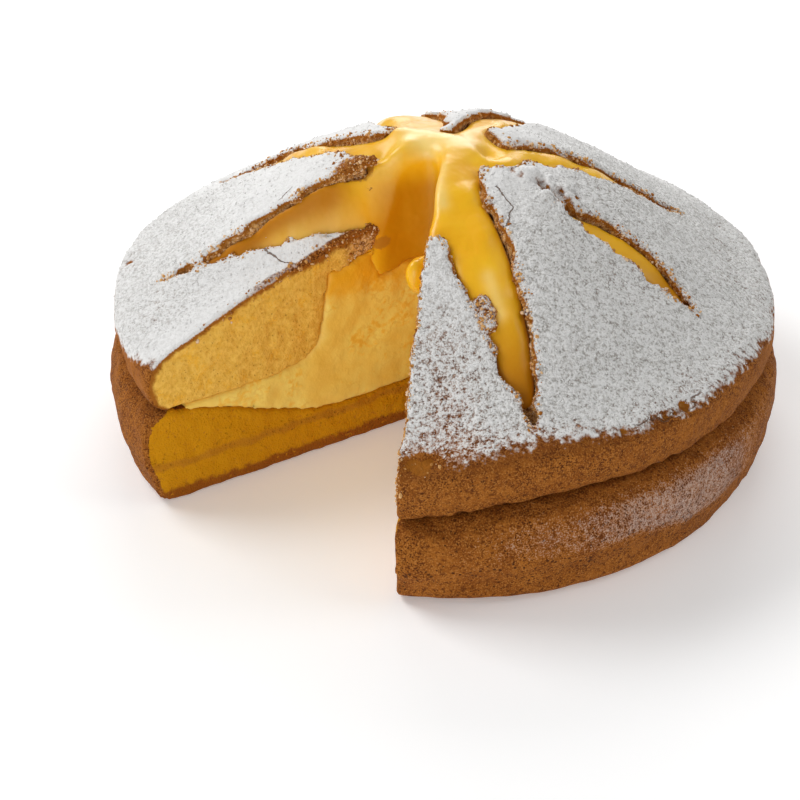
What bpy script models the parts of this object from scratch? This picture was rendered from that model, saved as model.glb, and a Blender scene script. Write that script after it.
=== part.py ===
"""An advocaat cake: two round sponge layers with custard between them, a domed top torn open
like a star round a pool of advocaat, and one slice taken out.

Metres, +Z up. The origin is on the cake's axis, where it stands. Azimuths are in degrees,
0 towards -Y and growing towards +X, so the slice is missing from the front left.
"""

import math

import bmesh
import bpy
from mathutils import Vector

MM = 0.001

# The cake's round, as it was baked
DRUM_RADIUS = 119.5 * MM
GROOVE_HEIGHT = 36.6 * MM
GROOVE_RADIUS = 110.5 * MM
RIM_RADIUS = 113.8 * MM
RIM_HEIGHT = 57.0 * MM
DOME_RISE = 54.7 * MM
DOME_POWER = 1.85
DOME_FALL = 1.377
GAP = 0.4 * MM

# The inside of the cake
CORE_FLOOR = 17.0 * MM
SKIRT_RADIUS = 104.0 * MM
POOL_FLOOR = 66.0 * MM

# The missing slice, and how far the crust sank beside it
RIGHT_CUT = -8.4
LEFT_CUT = -58.0
PETAL_SINK = 45.0 * MM
PETAL_RADIUS = 103.0 * MM
RIM_SAG = 6.5 * MM
RIM_SAG_WIDTH = 16.0

# The lobe of advocaat that hangs out of the right-hand cut
LOBE_CENTRE = (-10.0 * MM, -49.0 * MM, 83.0 * MM)
LOBE_SIZE = (10.0 * MM, 12.0 * MM, 15.0 * MM)

ROUND_STEPS = 76
CUTTER_TOP = 150 * MM
CUTTER_BOTTOM = -50 * MM


def smooth(value, low, high):
    """0 below low, 1 above high, and an even rise between."""
    share = min(1.0, max(0.0, (value - low) / (high - low)))
    return share * share * (3 - 2 * share)


def heading(azimuth):
    """Unit vector in plan at an azimuth in degrees."""
    turn = math.radians(azimuth)
    return Vector((math.sin(turn), -math.cos(turn), 0))


def dome(radius):
    """Height of the crust at this radius, before the cake settles."""
    share = min(1.0, radius / RIM_RADIUS)
    return RIM_HEIGHT + DOME_RISE * (1 - share**DOME_POWER) ** DOME_FALL


class Slit:
    """A tear in the crust, seen in plan: from start to end with a sideways bow, in millimetres.

    It is width across at its widest. It starts at mouth of that width, and narrows to a point at
    its end, the later the blunter it is. It is deep at its start and shallow at its end.
    """

    def __init__(self, name, start, end, bow, width, mouth=1.0, blunt=2.6, depth=17):
        self.name = name
        self.start = Vector((*start, 0)) * MM
        self.along = Vector((*end, 0)) * MM - self.start
        self.across = Vector((self.along.y, -self.along.x, 0)).normalized()
        self.bow = bow * MM
        self.half_width = width * MM / 2
        self.mouth = mouth
        self.blunt = blunt
        self.depth = depth * MM

    def half(self, share):
        """Half the width at a share of the length."""
        opening = self.mouth + (1 - self.mouth) * smooth(share, 0, 0.25)
        return self.half_width * opening * (1 - share**self.blunt)

    def middle(self, share):
        return self.start + self.along * share + self.across * 4 * share * (1 - share) * self.bow

    def side_offset(self, point):
        """How far a point lies from the middle line, to the side that across points to."""
        flat = Vector((point.x, point.y, 0)) - self.start
        share = min(1.0, max(0.0, flat.dot(self.along) / self.along.length_squared))
        return flat.dot(self.across) - 4 * share * (1 - share) * self.bow

    def plug(self, target, shrink=0.0):
        """The solid that fills the tear, from its floor to above the cake."""
        lengths, widths = 12, 3
        inset = 3 * shrink / self.along.length
        last = 0.97
        form = bmesh.new()
        bmesh.ops.create_grid(form, x_segments=lengths, y_segments=widths, size=1.0)
        for vertex in form.verts:
            share = min(max(last * (vertex.co.x + 1) / 2, inset), last - inset)
            half = max(self.half(share) - shrink, GAP)
            at = self.middle(share) + self.across * vertex.co.y * half
            at.z = dome(at.length) - self.depth * (1 - 0.6 * share) + 5 * shrink
            vertex.co = at
        raise_top(form, list(form.faces))
        return add(self.name, settled(mesh_of(form, self.name)), target)


FRONT_SLIT = Slit("front_slit", (-2, -26), (25.5, -103), -3.0, 20)
RIGHT_SLIT = Slit("right_slit", (38, -28), (82, -45), -4.9, 10.5, mouth=0.15, blunt=6, depth=15)
LEFT_SLIT = Slit("left_slit", (-20, -10.6), (-97.2, -19.4), -3.5, 6.8, mouth=0.5)
JOINED_SLITS = [
    FRONT_SLIT,
    Slit("back_right_slit", (22, -5), (84, 17), -0.5, 9, blunt=5),
    Slit("back_slit", (9, 3), (52, 74), 0, 12),
    Slit("back_left_slit", (-8, 4), (-26, 88), 0, 21),
    Slit("far_left_slit", (-19, -5), (-83, 63), -5.5, 10.5, blunt=4),
    LEFT_SLIT,
]

# The pool's edge in plan, in millimetres: round the petals' tips, and open to the missing slice
POOL = [
    (-12, -46), (-6, -50), (6, -45), (11, -35), (10, -24), (13, -18.5), (20, -17), (26, -12),
    (24, -5), (18.5, 0), (14, 5), (7, 6.5), (3, 1), (-4, 6), (-12, 10), (-18, 6), (-21, 0),
    (-22, -8), (-24, -13.5), (-16, -28),
]


def settle(point):
    """Moves a point of the evenly baked cake to where it lies in the real one.

    The outline is a little uneven. The narrow petal between the left slit and the missing slice
    has sunk into the gap, and the rim has sagged beside the right-hand cut.
    """
    radius = math.hypot(point.x, point.y)
    azimuth = math.degrees(math.atan2(point.x, -point.y))
    turn = math.radians(azimuth)
    spread = 1 + 0.004 * math.cos(turn + 1.9) + 0.005 * math.sin(2 * turn + 0.6)
    spread += 0.003 * math.sin(5 * turn)

    sinking = PETAL_SINK * max(0.0, 1 - radius / PETAL_RADIUS) ** 1.4
    sinking *= smooth(radius, 12 * MM, 26 * MM) * smooth(point.z, CORE_FLOOR, 72 * MM)
    offset = LEFT_SLIT.side_offset(point)
    sinking *= 0.8 * smooth(-offset, -3 * MM, 3 * MM) + 0.2 * smooth(-offset, 3 * MM, 12 * MM)
    sinking *= smooth(-azimuth, 20, 45) * (1 - smooth(-azimuth, 100, 130))

    from_cut = (azimuth - RIGHT_CUT) / RIM_SAG_WIDTH
    sagging = RIM_SAG * math.exp(-from_cut * from_cut) * smooth(radius, 60 * MM, 105 * MM)
    sagging *= smooth(point.z, 4 * MM, GROOVE_HEIGHT)

    waves = 0.9 * MM * math.sin(3 * turn + 0.4) + 0.6 * MM * math.sin(7 * turn + radius / MM * 0.06)
    waves *= smooth(point.z, 20 * MM, 50 * MM)
    return Vector((point.x * spread, point.y * spread, point.z - sinking - sagging + waves))


def settled(mesh):
    for vertex in mesh.vertices:
        vertex.co = settle(vertex.co)
    return mesh


def collection(name):
    made = bpy.data.collections.new(name)
    bpy.context.scene.collection.children.link(made)
    return made


def add(name, data, target):
    """A new object in a collection."""
    made = bpy.data.objects.new(name, data)
    target.objects.link(made)
    return made


def mesh_of(form, name):
    """A mesh with its faces outwards from a bmesh, which is then freed."""
    bmesh.ops.recalc_face_normals(form, faces=form.faces)
    mesh = bpy.data.meshes.new(name)
    form.to_mesh(mesh)
    form.free()
    return mesh


def raise_top(form, floor):
    """Makes a solid of a floor, up to the top of all cutters."""
    raised = bmesh.ops.extrude_face_region(form, geom=floor)["geom"]
    for vertex in (piece for piece in raised if isinstance(piece, bmesh.types.BMVert)):
        vertex.co.z = CUTTER_TOP


def finish(name, colour, roughness, metallic=0.0):
    """A plain Principled material."""
    material = bpy.data.materials.new(name)
    material.use_nodes = True
    shader = material.node_tree.nodes["Principled BSDF"]
    shader.inputs["Base Color"].default_value = (*colour, 1.0)
    shader.inputs["Roughness"].default_value = roughness
    shader.inputs["Metallic"].default_value = metallic
    return material


def plain_mesh(source):
    """The evaluated mesh of an object in the world's frame. The object is removed."""
    bpy.context.view_layer.update()
    graph = bpy.context.evaluated_depsgraph_get()
    mesh = bpy.data.meshes.new_from_object(source.evaluated_get(graph))
    mesh.transform(source.matrix_world)
    bpy.data.objects.remove(source)
    return mesh


def turned(name, profile, target):
    """A solid turned from (radius, height) points, from the axis down the outside and back."""
    line = bpy.data.meshes.new(name + "_profile")
    points = [(radius, 0.0, height) for radius, height in profile]
    line.from_pydata(points, [(i, i + 1) for i in range(len(points) - 1)], [])
    wire = add(name + "_profile", line, bpy.context.scene.collection)
    screw = wire.modifiers.new("turn", "SCREW")
    screw.steps = screw.render_steps = ROUND_STEPS
    screw.use_merge_vertices = True
    screw.merge_threshold = 0.0001
    return add(name, settled(plain_mesh(wire)), target)


def pool_plug(name, shrink, target):
    """The pool as an upright solid over its smooth edge, from its floor to above the cake."""
    floor = POOL_FLOOR + shrink
    edge = []
    for i, (x, y) in enumerate(POOL):
        before, after = POOL[i - 1], POOL[(i + 1) % len(POOL)]
        inward = Vector((before[1] - after[1], after[0] - before[0])).normalized() * shrink
        edge.append(Vector((x * MM, y * MM)) + inward)
    curve = bpy.data.curves.new(name, "CURVE")
    curve.dimensions = "2D"
    curve.fill_mode = "BOTH"
    curve.extrude = (CUTTER_TOP - floor) / 2
    curve.resolution_u = 3
    ring = curve.splines.new("NURBS")
    ring.points.add(len(edge) - 1)
    for point, at in zip(ring.points, edge):
        point.co = (at.x, at.y, 0, 1)
    ring.use_cyclic_u = True
    ring.order_u = 3
    drawn = add(name, curve, bpy.context.scene.collection)
    drawn.location.z = (CUTTER_TOP + floor) / 2
    form = bmesh.new()
    form.from_mesh(plain_mesh(drawn))
    bmesh.ops.remove_doubles(form, verts=form.verts, dist=0.01 * MM)
    return add(name, mesh_of(form, name), target)


def slice_cutter(target):
    """The missing slice, from the axis out past the rim."""
    reach = 2 * DRUM_RADIUS
    down = Vector((0, 0, CUTTER_BOTTOM))
    form = bmesh.new()
    corners = [down, heading(RIGHT_CUT) * reach + down, heading(LEFT_CUT) * reach + down]
    raise_top(form, [form.faces.new([form.verts.new(at) for at in corners])])
    return add("missing_slice", mesh_of(form, "missing_slice"), target)


def lobe(name, grow, target):
    """The lobe of advocaat that hangs out of the right-hand cut, under the petal's tip."""
    form = bmesh.new()
    bmesh.ops.create_uvsphere(form, u_segments=14, v_segments=9, radius=1.0)
    for vertex in form.verts:
        for axis in range(3):
            vertex.co[axis] *= LOBE_SIZE[axis] / 2 + grow
            vertex.co[axis] += LOBE_CENTRE[axis]
    return add(name, mesh_of(form, name), target)


def combine(solid, operation, operand):
    """Adds a Boolean with an object, or with all the objects of a collection."""
    boolean = solid.modifiers.new(operation.lower(), "BOOLEAN")
    boolean.operation = operation
    boolean.solver = "EXACT"
    if isinstance(operand, bpy.types.Collection):
        boolean.operand_type = "COLLECTION"
        boolean.collection = operand
    else:
        boolean.object = operand


def lower_top(radius):
    """Top of the lower sponge: dished, deep in the middle and up to the groove at the rim."""
    rise = GROOVE_HEIGHT - 1.5 * MM - CORE_FLOOR
    return CORE_FLOOR + rise * smooth(radius, 42 * MM, 108 * MM)


def shell_underside():
    """(radius, height) of the underside of the upper sponge, from the rim to the axis.

    The sponge is thick and cakey outside the custard's core, and a thin crust above it.
    """
    under_rim = [(102, 36.9), (90, 37.6), (76, 39.8), (64, 43.5), (55, 50.5), (49.8, 64)]
    under_crust = [(47.5, 16), (42, 12), (33, 10), (24, 8), (12, 7), (0, 6.5)]
    line = [(r * MM, z * MM) for r, z in under_rim]
    return line + [(r * MM, dome(r * MM) - thick * MM) for r, thick in under_crust]


def lower_layer(cake):
    """The lower sponge: a low browned drum with a bulging side and a dished top."""
    side = [(115.4, 34.4), (118.6, 30.0), (119.5, 24.0), (118.9, 17.0), (116.6, 10.5)]
    side += [(116.2, 8.0), (115.0, 3.0), (112.4, 0), (60, 0), (0, 0)]
    dish = [0, 20, 42, 55, 68, 82, 95, 104]
    profile = [(r * MM, lower_top(r * MM)) for r in dish]
    profile += [(GROOVE_RADIUS, GROOVE_HEIGHT - GAP)]
    profile += [(r * MM, z * MM) for r, z in side]
    solid = turned("lower_layer", profile, cake)
    solid.data.materials.append(finish("browned_sponge", (0.42, 0.21, 0.07), 0.85))
    return solid


def custard_filling(cake):
    """The custard between the layers: a tall core with a thin skirt that runs to the rim."""
    top = [(max(0.0, r - GAP), z - 7 * GAP) for r, z in reversed(shell_underside())]
    dish = [95, 82, 68, 55, 42, 20, 0]
    profile = top[:-1] + [(SKIRT_RADIUS - 2 * MM, GROOVE_HEIGHT - GAP / 4)]
    profile += [(r * MM, lower_top(r * MM) + GAP) for r in dish]
    solid = turned("custard_filling", profile, cake)
    solid.data.materials.append(finish("custard", (0.85, 0.62, 0.22), 0.5))
    return solid


def upper_layer(cake):
    """The upper sponge: a browned rim below a dome that is dusted with icing sugar."""
    rings = [0, 10, 18, 26, 34, 43, 52, 61, 70, 79, 88, 96, 103, 109]
    side = [(113.4, 57.0), (115.4, 54.6), (116.3, 50.0), (115.6, 43.5), (113.2, 39.0)]
    profile = [(r * MM, dome(r * MM)) for r in rings]
    profile += [(r * MM, z * MM) for r, z in side]
    profile += [(GROOVE_RADIUS - 1 * MM, GROOVE_HEIGHT + GAP)] + shell_underside()
    solid = turned("upper_layer", profile, cake)
    solid.data.materials.append(finish("sugared_sponge", (0.78, 0.76, 0.72), 0.9))
    return solid


def level_body(name, target):
    """Everything below the advocaat's surface, which lies a little lower than the crust."""
    rings = [0, 8, 16, 24, 32, 42, 52, 62, 72, 82, 92, 102, 112]
    dips = [3.5, 3.5, 3, 2.6, 2.5, 2.4, 2.4, 2.5, 2.6, 2.6, 2.8, 3.5, 5]
    base = 20 * MM
    profile = [(r * MM, dome(r * MM) - dip * MM) for r, dip in zip(rings, dips)]
    profile += [(rings[-1] * MM, base), (0, base)]
    return turned(name, profile, target)


def advocaat(name, slits, with_pool, cake, cutters, slice_gap):
    """Advocaat that fills tears, and the pool where it is asked for, up to its level."""
    pours = collection(name + "_pours")
    for slit in slits:
        slit.plug(pours, shrink=GAP)
    if with_pool:
        pool_plug("pool_pour", GAP, pours)
    joined = add(name + "_poured", bpy.data.meshes.new(name + "_poured"), cutters)
    combine(joined, "UNION", pours)
    body = level_body(name, cake)
    combine(body, "INTERSECT", joined)
    combine(body, "DIFFERENCE", slice_gap)
    if with_pool:
        combine(body, "UNION", lobe("lobe", -GAP, cutters))
    hide_cutters(pours)
    body.data.materials.append(finish("advocaat", (0.85, 0.45, 0.03), 0.25))
    return body


def hide_cutters(cutters):
    for cutter in cutters.objects:
        cutter.hide_render = True
        cutter.display_type = "WIRE"


def main():
    for old in list(bpy.data.objects):
        bpy.data.objects.remove(old)
    cake = collection("advocaat_cake")
    cutters = collection("cutters")
    tears = collection("tears")

    slice_gap = slice_cutter(cutters)
    for slit in [*JOINED_SLITS, RIGHT_SLIT]:
        slit.plug(tears)
    pool_plug("pool_cut", 0.0, tears)
    lobe("lobe_cut", 0.0, tears)

    combine(lower_layer(cake), "DIFFERENCE", slice_gap)
    for layer in (custard_filling(cake), upper_layer(cake)):
        for tear in tears.objects:
            combine(layer, "DIFFERENCE", tear)
        combine(layer, "DIFFERENCE", slice_gap)
    advocaat("advocaat_pool", JOINED_SLITS, True, cake, cutters, slice_gap)
    advocaat("advocaat_strip", [RIGHT_SLIT], False, cake, cutters, slice_gap)
    hide_cutters(tears)
    hide_cutters(cutters)


main()
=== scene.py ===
"""The looks of the advocaat cake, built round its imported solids. Metres, +Z up; sizes in MM."""

import itertools
import math

import bpy
import numpy as np
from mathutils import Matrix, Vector


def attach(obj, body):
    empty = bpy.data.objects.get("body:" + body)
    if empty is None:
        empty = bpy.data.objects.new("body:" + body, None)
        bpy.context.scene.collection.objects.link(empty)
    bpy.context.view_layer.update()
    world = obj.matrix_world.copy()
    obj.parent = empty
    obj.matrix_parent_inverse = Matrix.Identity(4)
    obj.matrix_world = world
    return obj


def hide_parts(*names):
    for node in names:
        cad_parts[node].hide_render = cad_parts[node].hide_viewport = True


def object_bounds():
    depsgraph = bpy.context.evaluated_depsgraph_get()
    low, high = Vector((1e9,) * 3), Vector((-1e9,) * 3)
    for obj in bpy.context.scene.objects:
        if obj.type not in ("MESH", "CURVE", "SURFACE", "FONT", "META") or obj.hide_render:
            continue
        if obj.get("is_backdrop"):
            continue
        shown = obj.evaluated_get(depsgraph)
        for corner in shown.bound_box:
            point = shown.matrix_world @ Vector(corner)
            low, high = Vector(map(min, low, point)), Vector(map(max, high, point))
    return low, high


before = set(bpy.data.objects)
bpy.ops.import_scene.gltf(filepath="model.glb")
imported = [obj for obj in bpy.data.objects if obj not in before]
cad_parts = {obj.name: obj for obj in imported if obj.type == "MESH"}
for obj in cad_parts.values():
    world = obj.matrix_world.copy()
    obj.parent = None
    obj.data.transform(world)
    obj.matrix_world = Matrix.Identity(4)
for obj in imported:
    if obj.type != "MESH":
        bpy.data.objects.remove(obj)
cad_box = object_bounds()

# ---------------------------------------------------------------------------------------------
# The studio. A pale table and backdrop in one, and large soft lamps: the main one high at the
# cake's left, a weak one at its right, a low one in front that shines into the missing slice,
# and one far behind whose light gleams on the poured advocaat.
# ---------------------------------------------------------------------------------------------

CAMERA_PLACE = (-0.0156, -0.6034, 0.3929)
CAMERA_TILT = 90 - 32.83
CAMERA_LENS = 88.2
SENSOR = 36.0

camera = bpy.data.objects.new("camera", bpy.data.cameras.new("camera"))
camera.location = CAMERA_PLACE
camera.rotation_euler = (math.radians(CAMERA_TILT), 0, 0)
camera.data.lens = CAMERA_LENS
camera.data.sensor_width = SENSOR
camera.data.clip_start = 0.01
bpy.context.scene.collection.objects.link(camera)
bpy.context.scene.camera = camera

# Each lamp's place, width and power in watts
LAMPS = {
    "main_lamp": ((-0.885, 0.358, 1.024), 0.7, 10),
    "front_lamp": ((-0.5, -1.3, 0.3), 0.9, 7),
    "back_lamp": ((0.1, 1.6, 0.9), 1.2, 16),
    "right_lamp": ((1.05, -0.15, 0.85), 0.7, 3.6),
}
LAMP_AIM = (0, 0, 0.05)
for name, (place, width, power) in LAMPS.items():
    lamp = bpy.data.lights.new(name, "AREA")
    lamp.size = width
    lamp.energy = power
    stand = bpy.data.objects.new(name, lamp)
    stand.location = place
    stand.rotation_euler = (Vector(LAMP_AIM) - Vector(place)).to_track_quat("-Z", "Y").to_euler()
    bpy.context.scene.collection.objects.link(stand)

TABLE_WIDTH = 8
TABLE_WHITE = 0.93
TABLE_GLOW = 0.2
ROOM_GLOW = 0.28

bpy.ops.mesh.primitive_plane_add(size=TABLE_WIDTH)
table = bpy.context.object
table.name = "table"
table_paint = bpy.data.materials.new("pale_table")
table_paint.use_nodes = True
table_shader = table_paint.node_tree.nodes["Principled BSDF"]
table_shader.inputs["Base Color"].default_value = (TABLE_WHITE, TABLE_WHITE, TABLE_WHITE, 1)
table_shader.inputs["Roughness"].default_value = 0.9
table_shader.inputs["Emission Color"].default_value = (1, 1, 1, 1)
table_shader.inputs["Emission Strength"].default_value = TABLE_GLOW
table.data.materials.append(table_paint)
table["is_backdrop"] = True

world = bpy.data.worlds.new("studio")
world.use_nodes = True
world.node_tree.nodes["Background"].inputs["Color"].default_value = (1, 1, 1, 1)
world.node_tree.nodes["Background"].inputs["Strength"].default_value = ROOM_GLOW
bpy.context.scene.world = world
bpy.context.scene.view_settings.view_transform = "Standard"

# ---------------------------------------------------------------------------------------------
# The lower sponge. Baked in a ring to a browned drum with a bulging side, a narrower foot and a
# dished top that the custard fills. The knife lays open its yellow crumb over a dark baked
# underside.
# ---------------------------------------------------------------------------------------------

MM = 0.001
# The missing slice's two cuts, in degrees round from the front
RIGHT_CUT = -8.4
LEFT_CUT = -58.0
# Heights of the groove between the layers, and of the dish's floor with its rise to the side
GROOVE = 36.4
CORE_FLOOR = 17.0
DISH_RISE = 18.1
# How the cake settled: by how much the petal beside the cut sank, how far out that reaches, and
# by how much the side sagged at the right-hand cut
PETAL_DROP = 45
PETAL_REACH = 103
CUT_SAG = 6.5
SETTLING_ROUNDS = 14
# The drum's side, as (height, radius)
DRUM_SIDE = [
    (0, 111.9), (3, 114.6), (8, 115.9), (10.5, 116.4), (17, 118.6), (24, 119.1), (30, 118.2),
    (34.4, 115.0), (36.6, 110.6), (38, 108),
]
# The spacing at which a surface is sampled, in how wide blocks it is searched, and how many
# steps from a block it may lie
STEP = 1.25
BLOCK = 4
NEAR_STEPS = 9
BOX_LOW = (-122, -122, -1.5)
BOX_HIGH = (122, 122, 114)
FAR_OUT = -1e3
NOISE_VALUES = 8192
NOISE_PRIMES = (73856093, 19349663, 83492791)


def smooth(value, low, high):
    """0 below low, 1 above high, and an even rise between."""
    share = np.clip((value - low) / (high - low), 0, 1)
    return share * share * (3 - 2 * share)


def line_through(points):
    """A smooth line through (place, value) points, as a function of the place."""
    at, value = np.array(points, float).T
    slope = np.gradient(value, at)

    def line(place):
        i = np.clip(np.searchsorted(at, place) - 1, 0, len(at) - 2)
        span = at[i + 1] - at[i]
        t = np.clip((place - at[i]) / span, 0, 1)
        rise = value[i] * (1 + 2 * t) * (1 - t) ** 2 + value[i + 1] * (3 - 2 * t) * t**2
        return rise + span * t * (1 - t) * (slope[i] * (1 - t) - slope[i + 1] * t)

    return line


def noise(points, size, seed):
    """Smooth noise from about -1 to 1 at points, with lumps about size across."""
    values = np.random.default_rng(seed).random(NOISE_VALUES) * 2 - 1
    scaled = points / size
    cell = np.floor(scaled).astype(np.int64)
    part = scaled - cell
    part = part * part * (3 - 2 * part)
    total = np.zeros(len(points))
    for corner in itertools.product((0, 1), repeat=3):
        at = cell + corner
        mixed = np.bitwise_xor.reduce(at * NOISE_PRIMES, axis=1)
        weight = np.prod(np.where(corner, part, 1 - part), axis=1)
        total += values[mixed % NOISE_VALUES] * weight
    return total * 1.5


def cut_off(points):
    """How far points lie outside each of the two cuts: both negative in the missing slice."""
    right, left = math.radians(RIGHT_CUT), math.radians(LEFT_CUT)
    from_right = points[:, 0] * math.cos(right) + points[:, 1] * math.sin(right)
    from_left = -points[:, 0] * math.cos(left) - points[:, 1] * math.sin(left)
    return from_right, from_left


def cut_wall(points):
    """How far points lie from the missing slice, whose walls the knife left slightly rough."""
    rough = 0.45 * noise(points, 5, 11) + 0.35 * noise(points, 2.6, 12)
    return np.maximum(*cut_off(points)) + rough


def heal(first, second, reach):
    """The larger of two distances, with the hollow corner between them filled by a curve."""
    near = np.maximum(reach - np.abs(first - second), 0) / reach
    return np.maximum(first, second) + near * near * reach / 4


def trim(first, second, reach):
    """The smaller of two distances, with the sharp corner between them rounded."""
    return -heal(-first, -second, reach)


class Slit:
    """A tear in the crust, seen in plan: from start to end with a sideways bow."""

    def __init__(self, start, end, bow, width, mouth=1.0, blunt=2.6, depth=17):
        self.start = np.array(start, float)
        self.along = np.array(end, float) - self.start
        self.length = np.hypot(*self.along)
        self.across = np.array((self.along[1], -self.along[0])) / self.length
        self.bow, self.half_width, self.depth = bow, width / 2, depth
        self.mouth, self.blunt = mouth, blunt

    def spot(self, x, y):
        """Share of the slit's length and offset from its middle line of plan points."""
        dx, dy = x - self.start[0], y - self.start[1]
        share = (dx * self.along[0] + dy * self.along[1]) / self.length**2
        held = np.clip(share, 0, 1)
        offset = dx * self.across[0] + dy * self.across[1] - 4 * held * (1 - held) * self.bow
        return share, offset

    def inside(self, x, y):
        """How far plan points lie inside the tear's edges, and their share of its length."""
        share, offset = self.spot(x, y)
        held = np.clip(share, 0, 1)
        opening = self.mouth + (1 - self.mouth) * smooth(held, 0, 0.25)
        half = self.half_width * opening * (1 - held**self.blunt)
        beyond = np.maximum(-share, share - 1) * self.length
        return np.minimum(half - np.abs(offset), -beyond), held


LEFT_SLIT = Slit((-20, -10.6), (-97.2, -19.4), -3.5, 6.8, mouth=0.5)


def even(points):
    """Radius, turn and height that points had in the evenly baked cake, before it settled."""
    x, y, z = points.T
    azimuth = np.degrees(np.arctan2(x, -y))
    turn = np.radians(azimuth)
    spread = 1 + 0.004 * np.cos(turn + 1.9) + 0.005 * np.sin(2 * turn + 0.6)
    spread += 0.003 * np.sin(5 * turn)
    radius = np.hypot(x, y) / spread
    sinking = PETAL_DROP * np.maximum(0, 1 - radius / PETAL_REACH) ** 1.4 * smooth(radius, 12, 26)
    offset = LEFT_SLIT.spot(x / spread, y / spread)[1]
    sinking *= 0.8 * smooth(-offset, -3, 3) + 0.2 * smooth(-offset, 3, 12)
    sinking *= smooth(-azimuth, 20, 45) * (1 - smooth(-azimuth, 100, 130))
    sagging = CUT_SAG * np.exp(-(((azimuth - RIGHT_CUT) / 16) ** 2)) * smooth(radius, 60, 105)
    waves = 0.9 * np.sin(3 * turn + 0.4) + 0.6 * np.sin(7 * turn + radius * 0.06)
    waves *= smooth(radius, 3, 30)
    height = z.copy()
    for _ in range(SETTLING_ROUNDS):
        lowered = sinking * smooth(height, CORE_FLOOR, 72) + sagging * smooth(height, 4, 36.6)
        height = z + lowered - waves * smooth(height, 20, 50)
    return radius, turn, height


drum_side = line_through(DRUM_SIDE)


def drum_top(radius):
    """Height of the drum's dished top at this radius."""
    dish = CORE_FLOOR + DISH_RISE * smooth(radius, 42, 108)
    return np.where(radius > 106, GROOVE, dish)


def lower_field(points):
    """How deep points lie inside the lower sponge, in MM."""
    radius, turn, height = even(points)
    ragged = 0.25 + 1.2 * smooth(height, 31, 36)
    lumps = 0.45 * noise(points, 11, 13) + ragged * noise(points, 3.2, 14)
    skin = trim(drum_side(height) - radius + lumps, points[:, 2], 3.5)
    form = trim(skin, (drum_top(radius) - height) * 0.9, 1.0)
    return np.minimum(form, cut_wall(points))


def crossings(fine, low, step):
    """The vertices and quads of a sampled field's surface."""
    inside = fine > 0
    cells = np.array(fine.shape) - 1
    count = np.zeros(cells, np.int8)
    for i, j, k in itertools.product((0, 1), repeat=3):
        count += inside[i : cells[0] + i, j : cells[1] + j, k : cells[2] + k]
    mixed = (count > 0) & (count < 8)
    where = np.argwhere(mixed)
    number = np.full(cells, -1, np.int64)
    number[mixed] = np.arange(len(where))
    total = np.zeros((len(where), 3))
    hits = np.zeros(len(where))
    for axis in range(3):
        others = [a for a in range(3) if a != axis]
        for i, j in itertools.product((0, 1), repeat=2):
            start = where.copy()
            start[:, others[0]] += i
            start[:, others[1]] += j
            end = start.copy()
            end[:, axis] += 1
            a, b = fine[tuple(start.T)], fine[tuple(end.T)]
            crossed = (a > 0) != (b > 0)
            part = np.where(crossed, a / np.where(crossed, a - b, 1), 0)
            place = start.astype(float)
            place[:, axis] += part
            total += place * crossed[:, None]
            hits += crossed
    vertices = total / hits[:, None] * step + low
    faces = []
    for axis in range(3):
        u, v = (axis + 1) % 3, (axis + 2) % 3
        first = np.take(inside, range(cells[axis]), axis)
        second = np.take(inside, range(1, cells[axis] + 1), axis)
        edges = np.argwhere(first != second)
        ring = []
        for du, dv in ((-1, -1), (0, -1), (0, 0), (-1, 0)):
            cell = edges.copy()
            cell[:, u] += du
            cell[:, v] += dv
            ring.append(number[tuple(cell.T)])
        quads = np.stack(ring, 1)
        outward = first[tuple(edges.T)]
        quads[~outward] = quads[~outward][:, ::-1]
        faces.append(quads)
    return vertices, np.concatenate(faces)


def skin_of(field, low, high, step):
    """Vertices and faces of the closed surface where a field turns from positive to negative.

    The space is first searched in blocks, and only those near the surface are filled in. Each
    cell that the surface crosses gets a vertex, where it is on average.
    """
    low = np.array(low, float)
    wide = BLOCK * step
    blocks = np.ceil((np.array(high) - low) / wide).astype(int)
    rough = np.stack(np.meshgrid(*[np.arange(n + 1) for n in blocks], indexing="ij"), -1)
    rough = field(rough.reshape(-1, 3) * wide + low).reshape(blocks + 1)
    corners = [
        rough[i : blocks[0] + i, j : blocks[1] + j, k : blocks[2] + k]
        for i, j, k in itertools.product((0, 1), repeat=3)
    ]
    near = np.min(np.abs(corners), axis=0) < NEAR_STEPS * step
    near |= np.min(corners, axis=0) * np.max(corners, axis=0) <= 0
    block = (BLOCK, BLOCK, BLOCK)
    fine = np.full(blocks * BLOCK + 1, FAR_OUT)
    fine[:-1, :-1, :-1] = np.kron(np.mean(corners, axis=0), np.ones(block))
    wanted = np.zeros(fine.shape, bool)
    dense = np.kron(near, np.ones(block, bool))
    for i, j, k in itertools.product((0, 1), repeat=3):
        wanted[i : i + dense.shape[0], j : j + dense.shape[1], k : k + dense.shape[2]] |= dense
    at = np.argwhere(wanted)
    fine[wanted] = field(at * step + low)
    for axis in range(3):
        edge = np.moveaxis(fine, axis, 0)
        edge[0] = edge[-1] = -1
    return crossings(fine, low, step)


def evened(vertices, faces, rounds):
    """Vertices drawn towards their neighbours' middle, which takes the grid's steps away."""
    edges = np.concatenate([faces[:, [i, (i + 1) % 4]] for i in range(4)])
    count = np.bincount(edges[:, 0], minlength=len(vertices))
    count = count + np.bincount(edges[:, 1], minlength=len(vertices))
    for _ in range(rounds):
        total = np.zeros_like(vertices)
        np.add.at(total, edges[:, 0], vertices[edges[:, 1]])
        np.add.at(total, edges[:, 1], vertices[edges[:, 0]])
        vertices = vertices * 0.5 + total / count[:, None] * 0.5
    return vertices


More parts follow.
